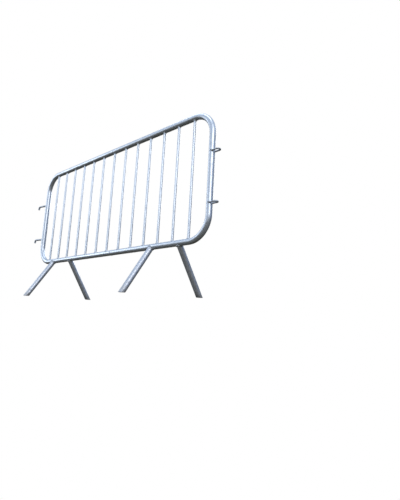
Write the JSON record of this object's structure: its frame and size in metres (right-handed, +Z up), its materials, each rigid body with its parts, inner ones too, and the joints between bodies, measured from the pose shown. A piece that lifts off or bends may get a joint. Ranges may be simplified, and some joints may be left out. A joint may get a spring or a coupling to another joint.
{
  "type": "crowd control barrier",
  "caption": "Welded tubular steel crowd barrier: rounded frame filled with upright bars on splayed legs, with drop hooks on one end and eyes on the other.",
  "frame": {"origin": "on the ground under the middle of the barrier's overall length, hooks and eyes included, in the plane of the frame", "axes": "+X along the barrier from the hook end to the eye end, +Y to the back, +Z up"},
  "size_m": [2.199, 0.4454, 1.0999],
  "materials": {
    "galvanised_tube": "hot-dip galvanised, satin, light blue-grey with a fine spangle",
    "galvanised_bar": "hot-dip galvanised, satin to bright",
    "galvanised_leg": "hot-dip galvanised, satin, scuffed and dusty towards the ground",
    "galvanised_fitting": "hot-dip galvanised round bar, rubbed where it latches",
    "galvanised_weld": "zinc over weld bead, duller and rougher than the tube"
  },
  "bodies": {
    "root": {"frame_tube": "galvanised_tube", "joint_sleeve": "galvanised_tube", "bar_01": "galvanised_bar", "bar_02": "galvanised_bar", "bar_03": "galvanised_bar", "bar_04": "galvanised_bar", "bar_05": "galvanised_bar", "bar_06": "galvanised_bar", "bar_07": "galvanised_bar", "bar_08": "galvanised_bar", "bar_09": "galvanised_bar", "bar_10": "galvanised_bar", "bar_11": "galvanised_bar", "bar_12": "galvanised_bar", "bar_13": "galvanised_bar", "leg_front_left": "galvanised_leg", "leg_front_right": "galvanised_leg", "leg_back_left": "galvanised_leg", "leg_back_right": "galvanised_leg", "hook_lower": "galvanised_fitting", "hook_upper": "galvanised_fitting", "eye_lower": "galvanised_fitting", "eye_upper": "galvanised_fitting", "seam_weld": "galvanised_weld", "bar_welds_bottom": "galvanised_weld", "bar_welds_top": "galvanised_weld", "leg_welds": "galvanised_weld", "hook_welds": "galvanised_weld", "eye_welds": "galvanised_weld"}
  },
  "joints": []
}
